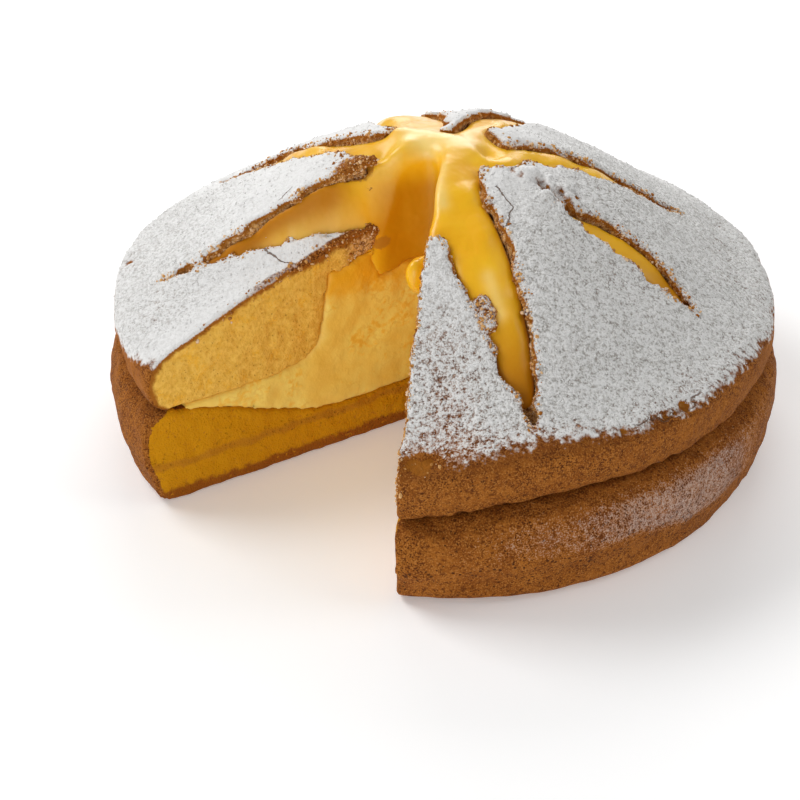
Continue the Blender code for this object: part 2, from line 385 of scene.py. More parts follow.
def mesh_piece(name, vertices, faces, material, values=None):
    """A smooth-shaded object from vertices in MM, with its values as attributes."""
    mesh = bpy.data.meshes.new(name)
    mesh.from_pydata(vertices * MM, [], faces.tolist())
    mesh.update()
    mesh.shade_smooth()
    for key, value in (values or {}).items():
        layer = mesh.attributes.new(key, "FLOAT", "POINT")
        layer.data.foreach_set("value", value.astype(np.float32))
    mesh.materials.append(material)
    piece = bpy.data.objects.new(name, mesh)
    bpy.context.scene.collection.objects.link(piece)
    return piece


class Link:
    """An output of a node. Sums and products with it add Math nodes to its tree."""

    def __init__(self, tree, socket=None):
        self.tree, self.socket = tree, socket

    def node(self, kind, settings=None, sockets=None, output=0):
        """A new node, given its settings and then the values or links of its sockets."""
        made = self.tree.nodes.new(kind)
        for key, value in (settings or {}).items():
            setattr(made, key, value)
        for key, value in (sockets or {}).items():
            if isinstance(value, Link):
                self.tree.links.new(value.socket, made.inputs[key])
            else:
                made.inputs[key].default_value = value
        return Link(self.tree, made.outputs[output] if made.outputs else None)

    def also(self, name):
        """Another output of the same node."""
        return Link(self.tree, self.socket.node.outputs[name])

    def size(self):
        """This number without its sign."""
        return self.maths("ABSOLUTE", self)

    def maths(self, operation, *values):
        """A Math node's result."""
        return self.node("ShaderNodeMath", {"operation": operation}, dict(enumerate(values)))

    def __add__(self, other):
        return self.maths("ADD", self, other)

    def __sub__(self, other):
        return self.maths("SUBTRACT", self, other)

    def __rsub__(self, other):
        return self.maths("SUBTRACT", other, self)

    def __mul__(self, other):
        return self.maths("MULTIPLY", self, other)

    __radd__ = __add__
    __rmul__ = __mul__

    def value(self, name):
        """A value that the mesh carries."""
        return self.node("ShaderNodeAttribute", {"attribute_name": name}, output=2)

    def place(self):
        """Where a point lies on its piece, in the piece's own coordinates."""
        return self.node("ShaderNodeTexCoord", output=3)

    def grain(self, size, detail=2.0):
        """Noise from 0 to 1 with grains of a size in MM."""
        sockets = {"Vector": self.place(), "Scale": 1 / (size * MM), "Detail": detail}
        return self.node("ShaderNodeTexNoise", None, sockets)

    def above(self, low, high):
        """0 where this is below low, 1 above high, and a smooth rise between."""
        sockets = {"Value": self, "From Min": low, "From Max": high}
        return self.node("ShaderNodeMapRange", {"interpolation_type": "SMOOTHSTEP"}, sockets)

    def blend(self, first, second):
        """The first colour where this is 0, and the second where it is 1."""
        sockets = {0: self}
        for key, colour in ((6, first), (7, second)):
            sockets[key] = colour if isinstance(colour, Link) else (*colour, 1)
        return self.node("ShaderNodeMix", {"data_type": "RGBA"}, sockets, output=2)


def finish(name, roughness, specular):
    """A new material, the start of its nodes, and its shader with what is the same all over."""
    material = bpy.data.materials.new(name)
    material.use_nodes = True
    shader = material.node_tree.nodes["Principled BSDF"]
    shader.inputs["Roughness"].default_value = roughness
    shader.inputs["Specular IOR Level"].default_value = specular
    return material, Link(material.node_tree), shader


def dress(start, shader, colour, relief, depth):
    """Gives the shader its colour, and relief by a height from 0 to 1 that is depth MM deep."""
    start.tree.links.new(colour.socket, shader.inputs["Base Color"])
    bump = start.node("ShaderNodeBump", None, {"Strength": 1.0, "Distance": depth * MM, "Height": relief})
    start.tree.links.new(bump.socket, shader.inputs["Normal"])


CRUST_BROWN = (0.25, 0.072, 0.007)
# CRUST_DARK gives the crust's real dark mottling and also the painted shade in the groove between the
# layers
CRUST_DARK = (0.14, 0.034, 0.003)
CRUST_LIGHT = (0.36, 0.118, 0.014)
CRUST_FLECK = (0.5, 0.2, 0.04)
PORE_DARK = (0.07, 0.018, 0.003)
PORES_IN_A_METRE = 520.0
THIN_SUGAR = (0.6, 0.55, 0.52)
CRUMB_MUSTARD = (0.6, 0.265, 0.002)
CRUMB_BASE = (0.3, 0.09, 0.006)
CRUMB_LINE = (0.42, 0.16, 0.012)
CRUMB_HOLE = (0.5, 0.2, 0.01)


def baked(start, coarse, fine, tiny, mote, pitting):
    """The colour of the baked skin, mottled and pricked with dark pores, and its pores."""
    skin = coarse.above(0.3, 0.7).blend(CRUST_BROWN, CRUST_LIGHT)
    patches = start.grain(14).above(0.38, 0.62) * 0.8 + 0.2
    skin = ((fine * 0.6 + tiny * 0.4).above(0.52, 0.38) * 0.9).blend(skin, CRUST_DARK)
    skin = (mote.above(0.52, 0.66) * 0.7).blend(skin, CRUST_FLECK)
    skin = (mote.above(0.43, 0.34) * patches).blend(skin, PORE_DARK)
    sockets = {"Vector": start.place(), "Scale": PORES_IN_A_METRE}
    spots = start.node("ShaderNodeTexVoronoi", None, sockets)
    pored = (spots + (coarse - 0.5) * 0.3 - pitting).above(0.16, 0.06)
    return (pored * 0.85).blend(skin, PORE_DARK), pored


# The mesh carries its height, where the cut's wall is, how thickly sugar fell on it, and pores
browned, start, shader = finish("browned_sponge", 0.8, 0.12)
rise, wall, haze = start.value("rise"), start.value("wall"), start.value("haze")
coarse, fine, tiny, mote = start.grain(8), start.grain(1.8, 3), start.grain(0.8, 2), start.grain(0.5, 1)
crust, pored = baked(start, coarse, fine, tiny, mote, start.value("pores") * 0.16)
# Painted shade: the crust is drawn darker towards the groove between the layers, where shade falls
crust = ((rise + fine * 4).above(34, 37.5) * 0.15).blend(crust, CRUST_DARK)
dusted = (haze + (fine - 0.5) * 0.9 + (mote - 0.5) * 1.3).above(0.3, 1.1)
crust = (dusted * 0.6).blend(crust, THIN_SUGAR)
inner = (rise + fine * 4 + coarse * 3).above(7.0, 9.5).blend(CRUMB_BASE, CRUMB_MUSTARD)
line = (rise + coarse * 5 - 17).size().above(2.2, 0.6)
inner = (line * 0.6).blend(inner, CRUMB_LINE)
inner = (fine * 0.5 + tiny * 0.5).above(0.42, 0.34).blend(inner, CRUMB_HOLE)
colour = (wall + (fine - 0.5) * 0.8).above(0.4, 0.7).blend(crust, inner)
dress(start, shader, colour, fine * 0.45 + tiny * 0.35 + mote * 0.2 - pored * 0.4, 1.1)

drum_points, drum_faces = skin_of(lower_field, BOX_LOW, (122, 122, 40), STEP)
drum_points[:, 2] = np.maximum(drum_points[:, 2], 0)
radius, turn, height = even(drum_points)
azimuth = np.degrees(turn)
from_cut = np.maximum(*cut_off(drum_points))
side_depth = drum_side(height) - radius
drum_values = {
    "rise": drum_points[:, 2],
    "wall": smooth(side_depth, 1.2, 2.6) * smooth(from_cut, 3, 1.5),
    "haze": (0.38 + 0.27 * smooth(azimuth, 15, 35))
    * (1 - 0.6 * smooth(azimuth, 48, 66))
    * smooth(azimuth, -6, 16)
    * smooth(height + 5 * noise(drum_points, 20, 15), 14, 22)
    * smooth(height, 37, 30),
    "pores": np.exp(-(((height - 16.5 + 2 * noise(drum_points, 14, 16)) / 2.2) ** 2)),
}
lower = mesh_piece("lower_sponge", drum_points, drum_faces, browned, drum_values)
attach(lower, "root")
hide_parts("lower_layer")

# ---------------------------------------------------------------------------------------------
# The upper sponge. The same mix, baked with a domed top that was torn open like a star and
# dusted with icing sugar: thick on the far petals, thin and speckled by the near rim.
# ---------------------------------------------------------------------------------------------

SUGAR_WHITE = (0.82, 0.812, 0.8)
SUGAR_SHADE = (0.35, 0.33, 0.3)
CRACK_BROWN = (0.2, 0.1, 0.05)
UNDER_CRUST = (0.34, 0.115, 0.01)
SPONGE_TAN = (0.74, 0.42, 0.06)
SPONGE_PALE = (0.86, 0.53, 0.1)
SPONGE_YOLK = (0.84, 0.42, 0.02)
SPONGE_HOLE = (0.62, 0.28, 0.03)
TORN_DARK = (0.2, 0.066, 0.01)
TORN_LIGHT = (0.72, 0.4, 0.13)
TORN_DUSTED = (0.85, 0.62, 0.4)
FRONT_SLIT = Slit((-2, -26), (25.5, -103), -3.0, 20)
RIGHT_SLIT = Slit((38, -28), (82, -45), -4.9, 10.5, mouth=0.15, blunt=6, depth=15)
JOINED_SLITS = [
    FRONT_SLIT,
    Slit((22, -5), (84, 17), -0.5, 9, blunt=5),
    Slit((7, 3), (48, 75), 0, 14, mouth=0.6),
    Slit((-7, 4), (-22, 88), 0, 25, mouth=0.6),
    Slit((-19, -5), (-83, 63), -5.5, 10.5, blunt=4),
    LEFT_SLIT,
]
EVERY_SLIT = [*JOINED_SLITS, RIGHT_SLIT]
# The pool's floor before the cake settled, how low it may end, and its corners in plan
POOL_FLOOR = 66.0
POOL_FLOOR_CUT = 63.0
POOL = [
    (-12, -46), (-6, -50), (6, -45), (11, -35), (10, -24), (13, -18.5), (20, -17), (26, -12),
    (24, -5), (18.5, 0), (14, 5), (7, 6.5), (3, 1), (-4, 6), (-12, 10), (-18, 6), (-21, 0),
    (-22, -8), (-24, -13.5), (-16, -28),
]
# The dome springs from this height and radius and rises by so much
RIM_HEIGHT = 57
RIM_RADIUS = 113.8
DOME_RISE = 54.7
# The rim's side as (height, radius), and the underside as (radius, height)
RIM_SIDE = [
    (34, 107), (36.9, 109.4), (39, 112.9), (43.5, 115.2), (50, 115.9), (54.6, 115.0),
    (57, 113.4), (62, 110),
]
UNDERSIDE = [
    (0, 105.2), (12, 103.8), (24, 100.4), (33, 94), (42, 88), (47.5, 81.2), (49.8, 64),
    (55, 50.5), (64, 43.5), (76, 39.8), (90, 37.6), (102, 36.9), (120, 36.9),
]
# Where the crust is pitted: plan place, distance above the crust, and size
PITS = [
    (21.7, -18.7, 0.2, 1.9), (23.9, -20.7, 0.2, 1.7), (30.9, -20.5, 0.4, 1.7),
    (32.4, -23.6, 0.5, 1.9), (36.2, -18.6, 0.9, 1.7), (37.4, -22.2, 0.9, 1.8),
    (36.0, -25.0, 0.8, 1.8), (43.9, -17.7, 0.3, 1.8), (64.6, -92.6, 0.1, 2.2),
    (67.8, -90.4, -0.3, 2.3), (71.2, -87.8, 0.2, 1.9), (74.4, -85.2, -0.5, 2.4),
    (77.6, -82.2, 0.1, 1.8), (41.5, -105.4, 0.2, 1.8), (47.6, -102.8, 0.2, 1.7),
    (54.0, -99.6, 0.1, 1.9), (-112.5, 5.4, 0.2, 2.4),
]
# Lumps that stand on the crust between the near petals, in the same way
LUMPS = [
    (28.4, -17.4, 0.1, 2.8), (33.6, -18.6, 0.4, 2.9), (34.4, -21.4, 0.3, 2.8),
    (38.6, -19.8, 0.2, 2.6), (39.8, -23.8, 0.3, 3.0), (36.9, -28.1, 0.2, 2.9),
    (25.6, -18.2, -0.2, 2.3), (32.6, -27.0, 0.0, 2.6), (40.6, -27.6, 0.0, 2.8),
]
# Lumps of torn sponge that hang in the front tear, in the same way
CHUNKS = [
    (10.4, -66.5, -2.6, 2.9), (11.8, -69.5, -2.4, 3.0), (12.6, -72.6, -2.8, 2.7),
    (27.2, -73.0, -2.0, 2.4), (28.6, -76.4, -1.8, 2.5),
]
# Where a flake of the crust is missing at the front corner, and its half sizes
BREAK_CENTRE = np.array((-11.0, -112.8, 52.6))
BREAK_HALF = np.array((7.6, 5.0, 4.4))
# Fine cracks in the crust, as lines of plan places
CRACKS = [
    [(17.6, -30.5), (19.1, -32.8), (20.9, -35.3), (19.9, -39.1), (18.9, -42.2), (15.8, -45.6)],
    [(-62, -21), (-60, -24.2), (-57.5, -26), (-54.5, -29), (-51.0, -30.6)],
    [(-53.4, -10.6), (-54.8, -11.6)],
    [(58, -96), (66, -91), (70, -89), (76, -84), (79, -79)],
]


def dome(radius):
    """Height of the crust at this radius, before the cake settles."""
    share = np.minimum(1, radius / RIM_RADIUS)
    return RIM_HEIGHT + DOME_RISE * (1 - share**1.85) ** 1.377


def pool_edge():
    """The pool's smooth edge as a closed ring of plan points, each midway along its corners."""
    corner = np.array(POOL, float)
    middle = (corner + np.roll(corner, -1, 0)) / 2
    t = np.linspace(0, 1, 6, endpoint=False)[:, None, None]
    after = np.roll(middle, -1, 0)
    knee = np.roll(corner, -1, 0)
    ring = middle * (1 - t) ** 2 + 2 * knee * t * (1 - t) + after * t**2
    return ring.transpose(1, 0, 2).reshape(-1, 2)


def ring_depth(x, y, ring):
    """How far plan points lie inside a closed ring."""
    nearest = np.full(len(x), 1e9)
    inside = np.zeros(len(x), bool)
    for a, b in zip(ring, np.roll(ring, -1, 0)):
        step = b - a
        t = ((x - a[0]) * step[0] + (y - a[1]) * step[1]) / (step @ step)
        t = np.clip(t, 0, 1)
        away = np.hypot(x - a[0] - t * step[0], y - a[1] - t * step[1])
        nearest = np.minimum(nearest, away)
        crosses = (a[1] > y) != (b[1] > y)
        side = a[0] + (y - a[1]) * step[0] / (step[1] if step[1] else 1e-9)
        inside ^= crosses & (x < side)
    return np.where(inside, nearest, -nearest)


# The pool's edge is kept in a map of this spacing and reach
PLAN = 0.75
PLAN_REACH = 60
plan_axis = np.arange(-PLAN_REACH, PLAN_REACH + PLAN, PLAN)
plan_x, plan_y = np.meshgrid(plan_axis, plan_axis, indexing="ij")
pool_map = ring_depth(plan_x.ravel(), plan_y.ravel(), pool_edge()).reshape(plan_x.shape)


def pool_depth(x, y):
    """How far plan points lie inside the pool's edge, read from its map."""
    u = np.clip((x + PLAN_REACH) / PLAN, 0, len(plan_axis) - 1.001)
    v = np.clip((y + PLAN_REACH) / PLAN, 0, len(plan_axis) - 1.001)
    i, j = u.astype(int), v.astype(int)
    s, t = u - i, v - j
    low = pool_map[i, j] * (1 - s) + pool_map[i + 1, j] * s
    high = pool_map[i, j + 1] * (1 - s) + pool_map[i + 1, j + 1] * s
    far = np.maximum(np.abs(np.array((x, y))) - PLAN_REACH, 0)
    return low * (1 - t) + high * t - np.hypot(*far)


def in_plan(radius, turn):
    """Plan places of points in the evenly baked cake."""
    return radius * np.sin(turn), -radius * np.cos(turn)


def tear_depth(radius, turn, height, slits, with_pool, reach, level):
    """How far points lie inside the tears: in plan, and above their floors."""
    x, y = in_plan(radius, turn)
    crust = dome(radius)
    best = np.full(len(radius), FAR_OUT)
    for slit in slits:
        edge, share = slit.inside(x, y)
        floor = crust - slit.depth * (1 - 0.6 * share)
        best = heal(best, np.minimum(edge, height - floor), reach)
    if with_pool:
        above = np.minimum(height - POOL_FLOOR, level - POOL_FLOOR_CUT)
        best = heal(best, np.minimum(pool_depth(x, y), above), reach)
    return best


rim_side = line_through(RIM_SIDE)
underside = line_through(UNDERSIDE)


def crust_depth(radius, height):
    """How far points lie under the outer crust of the upper sponge."""
    return trim((dome(radius) - height) * 0.87, rim_side(height) - radius, 3.5)


def above_underside(radius, height):
    """How far points lie above the upper sponge's hollow underside."""
    steep = underside(radius + 0.5) - underside(radius - 0.5)
    return (height - underside(radius)) / np.hypot(1, steep)


def ball_depth(radius, turn, height, balls):
    """How far points lie inside balls set on the crust, which make its pits and lumps."""
    x, y = in_plan(radius, turn)
    best = np.full(len(radius), -9.0)
    for px, py, lift, size in balls:
        near = np.flatnonzero((np.abs(x - px) < 9) & (np.abs(y - py) < 9))
        level = dome(math.hypot(px, py)) + lift
        away = np.sqrt((x[near] - px) ** 2 + (y[near] - py) ** 2 + (height[near] - level) ** 2)
        best[near] = np.maximum(best[near], size - away)
    return best


def corner_break(points):
    """Above 0 where a flake of the crust is missing at the front corner."""
    return 1 - np.linalg.norm((points - BREAK_CENTRE) / BREAK_HALF, axis=1)


def upper_field(points):
    """How deep points lie inside the upper sponge, in MM."""
    radius, turn, height = even(points)
    crust = crust_depth(radius, height) + 0.35 * noise(points, 11, 25) + 0.25 * noise(points, 4.5, 26)
    crust += 1.2 * noise(points, 3.2, 15) * smooth(height, 42, 38)
    crust = heal(crust, ball_depth(radius, turn, height, LUMPS), 1.5)
    torn = tear_depth(radius, turn, height, EVERY_SLIT, True, 2.5, points[:, 2])
    torn += 1.1 * noise(points, 5, 21) + 1.0 * noise(points, 2.9, 22)
    pitted = ball_depth(radius, turn, height, PITS) + 0.7 * noise(points, 2.6, 27)
    torn = np.maximum(torn, pitted)
    torn = np.minimum(torn, -ball_depth(radius, turn, height, CHUNKS))
    torn = np.maximum(torn, corner_break(points) * 5 + 0.9 * noise(points, 3, 28))
    form = trim(crust, -torn, 1.3)
    hem = 1.1 * noise(points, 3.2, 15) * smooth(radius, 101, 107)
    form = np.minimum(form, above_underside(radius, height) - 0.1 + hem)
    return trim(form, cut_wall(points), 1.0)


def nearest_line(x, y, lines):
    """The signed distance of plan points from the nearest line, and its plain distance."""
    offset, away = np.full(len(x), 99.0), np.full(len(x), 99.0)
    for line in lines:
        for (ax, ay), (bx, by) in zip(line, line[1:]):
            length = math.hypot(bx - ax, by - ay)
            t = np.clip(((x - ax) * (bx - ax) + (y - ay) * (by - ay)) / length**2, 0, 1)
            side = ((x - ax) * (by - ay) - (y - ay) * (bx - ax)) / length
            distance = np.hypot(x - ax - t * (bx - ax), y - ay - t * (by - ay))
            nearer = distance < away
            offset[nearer], away[nearer] = side[nearer], distance[nearer]
    return offset, away


# The mesh carries its height in the evenly baked cake, its depth under the crust, and where it
# is torn, dusted, grainy (which also sets painted shade on the sugar) or cracked
sugared, start, shader = finish("sugared_sponge", 0.85, 0.15)
under, rise, torn = start.value("under"), start.value("rise"), start.value("torn")
dust, grainy_and_shaded, line = start.value("dust"), start.value("grainy_and_shaded"), start.value("crack")
coarse, fine, tiny, mote = start.grain(6), start.grain(1.8, 3), start.grain(0.8, 2), start.grain(0.5, 1)
crust, pored = baked(start, coarse, fine, tiny, mote, 0.0)
# Painted shade: the crust is drawn darker low on the rim, down into the groove between the layers
crust = ((rise + fine * 4).above(42.5, 39) * 0.3).blend(crust, CRUST_DARK)
crust = ((rise + fine * 3 - 57.5).size().above(3.5, 0.5) * 0.35).blend(crust, CRUST_DARK)
pale = (rise + coarse * 3 - 49).size().above(6, 2) * start.value("edge") * -0.5
crust = (pale.above(0, 1) * (coarse * 0.5 + fine * 0.5)).blend(crust, CRUST_LIGHT)
spread = (fine - 0.5) * 1.2 + (tiny - 0.5) * 0.9 * grainy_and_shaded + (mote - 0.5) * 0.7 * grainy_and_shaded
cover = (dust + spread).above(0.1, 0.75)
cover = cover * (rise + (coarse - 0.5) * 5 + (fine - 0.5) * 7 - start.value("edge")).above(55, 57.5)
# Painted shade: the sugar is speckled darker between its grains, most on the near petals, where less light
# falls
shaded = (fine * 0.4 + tiny * 0.4 + mote * 0.2).above(0.56, 0.38) * (grainy_and_shaded * 0.85 + 0.03)
white = shaded.blend(SUGAR_WHITE, SUGAR_SHADE)
top = cover.blend(crust, white)
strayed = line + (fine - 0.5) * 1.6 + (tiny - 0.5) * 0.9
cracked = strayed.size().above(0.34, 0.1) * start.value("near_crack") * coarse.above(0.3, 0.4)
top = (cracked * 0.85).blend(top, CRACK_BROWN)
sponge = fine.above(0.3, 0.7).blend(SPONGE_TAN, SPONGE_PALE)
sponge = ((coarse * 0.7 + tiny * 0.4).above(0.58, 0.74) * 0.6).blend(sponge, SPONGE_YOLK)
sponge = ((tiny * 0.6 + fine * 0.4).above(0.42, 0.34) * 0.6).blend(sponge, SPONGE_HOLE)
ripped = (tiny * 0.4 + fine * 0.6).above(0.36, 0.62).blend(TORN_DARK, TORN_LIGHT)
ripped = (mote.above(0.56, 0.66) * 0.7).blend(ripped, TORN_DUSTED)
inner = torn.blend(sponge, ripped)
inner = (under + (fine - 0.5) * 2.4).above(3.4, 1.6).blend(inner, UNDER_CRUST)
colour = (under + (mote - 0.5) * 1.0).above(0.75, 1.2).blend(top, inner)
relief = fine * (0.3 + grainy_and_shaded * 0.35) + tiny * (0.1 + grainy_and_shaded * 0.3) - cracked * 0.6 - pored * 0.2
dress(start, shader, colour, relief, 1.8)

top_points, top_faces = skin_of(upper_field, (-122, -122, 30), BOX_HIGH, STEP)
radius, turn, height = even(top_points)
top_x, top_y = in_plan(radius, turn)
azimuth = np.degrees(turn)
under_crust = crust_depth(radius, height) + 0.35 * noise(top_points, 11, 25)
under_crust = heal(under_crust, ball_depth(radius, turn, height, LUMPS), 1.5)
under_crust += 0.25 * noise(top_points, 4.5, 26)
in_tears = tear_depth(radius, turn, height, EVERY_SLIT, True, 2.5, top_points[:, 2])
in_pits = ball_depth(radius, turn, height, PITS)
in_break = corner_break(top_points)
from_cut = np.maximum(*cut_off(top_points))
wander = 0.9 * noise(top_points, 3.2, 33)
crack_side, crack_away = nearest_line(top_x + wander, top_y - wander, CRACKS)
near_side = smooth(azimuth, -50, -15) * smooth(azimuth, 140, 100)
first_petal = smooth(azimuth, -40, -8) * smooth(azimuth, 26, 10)
lower_left = smooth(azimuth, -58, -70) * smooth(azimuth, -125, -110) * smooth(radius, 62, 95)
dust = 1.08 - 0.14 * near_side - 0.2 * lower_left
dust -= 0.38 * np.exp(-(((azimuth + 2) / 11) ** 2)) * smooth(radius, 58, 88)
dust -= (0.12 + 0.1 * smooth(azimuth, 60, 30)) * smooth(radius, 97, 112) * near_side
dust -= 0.4 * smooth(in_tears, -2.2, -0.6) * near_side
dust -= 0.9 * smooth(in_break, -0.35, 0.0) + 0.5 * smooth(in_pits, -0.4, 0.4)
# This value roughens the sugar and also paints shade: greyer on the near petals, which get less light, and
# less so high on the first petal, which catches more
grainy_and_shaded = 0.16 + 0.84 * near_side * smooth(radius, 25, 60) + 0.4 * lower_left
grainy_and_shaded *= 1 - 0.4 * first_petal * smooth(radius, 85, 60)
bare_tip = smooth(radius, 43, 35) * smooth(azimuth, -90, -70) * smooth(azimuth, -40, -50)
edge = 1.8 * smooth(azimuth, 34, 14) * smooth(azimuth, -56, -40) - 0.9 * smooth(azimuth, 28, 44)
edge -= 1.6 * smooth(azimuth, 56, 80) + (5 - 2.5 * smooth(azimuth, -120, -170)) * smooth(azimuth, -56, -72)
left_edge = smooth(azimuth, -50, -54) * smooth(azimuth, -66, -62) * smooth(radius, 100, 70)
left_edge *= smooth(cut_off(top_points)[1] + noise(top_points, 5, 34), 2.0, 0.8)
dust -= left_edge * (0.6 + 0.4 * smooth(radius, 72, 48))
top_values = {
    "rise": height,
    "under": under_crust,
    "torn": np.maximum.reduce([
        smooth(in_tears + np.minimum(from_cut, 3), -2, 0.5), smooth(in_pits, -1, 0),
        smooth(in_break, -0.5, -0.2), bare_tip,
    ]),
    "dust": dust - 1.5 * bare_tip + 0.12 * noise(top_points, 16, 29),
    "edge": edge,
    "grainy_and_shaded": grainy_and_shaded,
    "crack": crack_side,
    "near_crack": smooth(crack_away, 2.2, 1.2) * smooth(under_crust, 1.5, 0.5),
}
top_values["grains"] = grainy_and_shaded * smooth(dust, 0.2, 0.8) * smooth(under_crust, 1.2, 0.4)
top_values["grains"] *= smooth(height - edge, 55, 59)
walls = smooth(in_tears, -1.2, 0.2) * smooth(under_crust, 9, 3)
edges = smooth(in_tears, -2.6, -1.0) * smooth(under_crust, 1.5, 0.2)
right_edge = smooth(cut_off(top_points)[0], 1.6, 0.6) * smooth(under_crust, 7, 3)
right_edge *= smooth(azimuth, -40, -20) * smooth(azimuth, 60, 30) * smooth(radius, 22, 34)
crumbs = walls + 0.5 * edges + 0.9 * right_edge + bare_tip + 0.2 * smooth(in_break, -0.4, 0)
crumbs += smooth(azimuth, -40, -20) * smooth(azimuth, 0, -6) * smooth(radius, 46, 38) * 0.8
crumbs *= smooth(height, 44, 50) * (0.25 + 0.75 * np.maximum(near_side, smooth(azimuth, -60, -75)))
crumbs *= np.where(np.abs(azimuth) > 125, 0.15, 1)
crumbs += 0.5 * left_edge * smooth(under_crust, 4, 1.5)
top_values["crumbs"] = np.clip(crumbs, 0, 1)
upper = mesh_piece("upper_sponge", top_points, top_faces, sugared, top_values)
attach(upper, "root")
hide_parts("upper_layer")

# ---------------------------------------------------------------------------------------------
# The custard. Spread thick between the layers and heaped in the middle, it shows in the cut as
# a smooth pale cream with streaks of yolk.
# ---------------------------------------------------------------------------------------------

CREAM_SHADE = (0.88, 0.58, 0.1)
CREAM_LIGHT = (0.93, 0.71, 0.17)
CREAM_HIGH = (0.86, 0.41, 0.002)
YOLK_STREAK = (0.72, 0.4, 0.03)
YOLK_PATCH = (0.95, 0.52, 0.02)
YOLK_DARK = (0.7, 0.3, 0.01)
CUSTARD_RADIUS = 103


def custard_field(points):
    """How deep points lie inside the custard, in MM."""
    radius, turn, height = even(points)
    form = np.minimum(-above_underside(radius, height) + 0.3, (height - drum_top(radius)) * 0.9 + 0.2)
    form = np.minimum(form, CUSTARD_RADIUS - radius)
    torn = tear_depth(radius, turn, height, EVERY_SLIT, True, 2.5, points[:, 2])
    return np.minimum(np.minimum(form, -torn), cut_wall(points) + 0.15 * noise(points, 9, 31))


cream, start, shader = finish("custard", 0.5, 0.3)
broad, swirl, fine = start.grain(16, 3), start.grain(10, 4), start.grain(2.2, 3)
colour = broad.above(0.35, 0.65).blend(CREAM_SHADE, CREAM_LIGHT)
streak = (swirl + (fine - 0.5) * 0.12 - 0.5).size().above(0.035, 0.0) * broad.above(0.42, 0.55)
colour = (streak * 0.35).blend(colour, YOLK_STREAK)
colour = ((broad * 0.6 + fine * 0.4).above(0.52, 0.64) * 0.6).blend(colour, YOLK_PATCH)
colour = (broad.above(0.52, 0.7) * fine.above(0.4, 0.66) * 0.4).blend(colour, YOLK_DARK)
high = (start.value("rise") + (swirl - 0.5) * 16).above(55, 65)
colour = (high * 0.85).blend(colour, CREAM_HIGH)
dress(start, shader, colour, swirl * 0.7 + fine * 0.3, 0.8)

custard_points, custard_faces = skin_of(custard_field, (-106, -106, 12), (106, 106, 112), STEP * 1.25)
custard_points = evened(custard_points, custard_faces, 1)
custard = mesh_piece("custard", custard_points, custard_faces, cream, {"rise": custard_points[:, 2]})
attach(custard, "root")
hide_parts("custard_filling")

# ---------------------------------------------------------------------------------------------
# The advocaat. A thick glossy egg cream, poured into the crown: it pools in the middle, runs
# out along the tears, coats the corner of the cut and hangs from it in a lobe.
# ---------------------------------------------------------------------------------------------

EGG_YELLOW = (0.92, 0.46, 0.003)
EGG_LIGHT = (0.96, 0.53, 0.01)
EGG_DEEP = (0.52, 0.185, 0.0)
# The next colour is a painted highlight on the cream
EGG_HIGHLIGHT = (1.0, 0.74, 0.26)
SHORE_BROWN = (0.55, 0.24, 0.02)
POUR_STEP = 1.1
# How far the cream lies below the crust, as (radius, depth)
DIPS = line_through(
    [(0, 2.6), (12, 2.8), (24, 2.6), (60, 2.4), (82, 2.6), (89, 3.0), (96, 7), (104, 12), (120, 14)]
)
# The lobe that hangs from the corner of the cut
LOBE_CENTRE = np.array((-10.5, -50.0, 83.5))
LOBE_HALF = np.array((3.4, 5.4, 6.2))
# Folds and hollows in the poured cream: lines of plan places, width and rise
FOLDS = [
    ([(-13, -3.5), (-19.5, -9.5), (-26.5, -13.4), (-36, -16.2)], 2.6, 2.0),
    ([(-22, -6.5), (-30, -9.8), (-39, -12.0)], 3.0, -1.6),
    ([(-2, -16), (-3.5, -24), (-4.6, -33)], 2.6, 1.4),
    ([(7, -28), (9, -38), (12, -52), (17, -66), (21, -78)], 3.0, 1.1),
    ([(14, -30), (18.5, -46), (24, -64), (27.5, -82)], 3.4, -1.7),
    ([(-17, 8), (-14, 16), (-18, 28), (-20, 45)], 6.0, 2.2),
    ([(-15, 5), (-8, 4)], 4.0, 1.4),
    ([(9, 6), (15, 12), (25, 28)], 4.0, 1.5),
    ([(-4, -3), (4, -6)], 7.0, 1.6),
    ([(13.4, -7.0), (15.4, -8.6)], 2.4, -1.8),
    ([(9, -9), (12, -12), (18, -13), (22, -10)], 2.4, 1.0),
]


def advocaat_field(points, slits, with_pool):
    """How deep points lie inside a body of advocaat, in MM."""
    radius, turn, height = even(points)
    x, y = in_plan(radius, turn)
    poured = tear_depth(radius, turn, height, slits, with_pool, 5, points[:, 2]) + 0.6
    swell = 0.8 * noise(points, 13, 41) + 0.5 * noise(points, 6.5, 42)
    for line, width, lift in FOLDS:
        swell += lift * np.exp(-((nearest_line(x, y, [line])[1] / width) ** 2))
    level = dome(radius) - DIPS(radius) + swell
    form = trim((level - height) * 0.87, poured, 3)
    right, left = cut_off(points)
    form = trim(form, heal(right, left, 14) + 0.5 * noise(points, 9, 43), 3)
    if with_pool:
        away = (points - LOBE_CENTRE) / LOBE_HALF
        lobe = (1 - np.linalg.norm(away, axis=1)) * 4 + 0.8 * noise(points, 4, 44)
        form = heal(form, lobe, 4)
    return form


# Painted highlights, where the cream is drawn paler as if catching the light: lines of plan places, width
# and amount
PAINTED_HIGHLIGHTS = [
    ([(-10, 0), (-5.4, -3.6), (4, -3)], 6.5, 0.85),
    ([(-16, -8), (-25, -12)], 2.2, 0.22),
    ([(-2, -18), (-3, -26), (-2, -35)], 2.4, 0.6),
    ([(12.5, -59), (16, -70)], 2.3, 0.5),
    ([(-28, -15.5), (-40, -17.5), (-52, -19.5)], 1.6, 0.3),
    ([(12, 5), (24, 1)], 3.0, 0.35),
]
# Wet crumb at the end of the petal beside the cut
TIP_CENTRE = np.array((-21.8, -13.6, 76.0))
TIP_HALF = np.array((4.6, 4.6, 2.6))

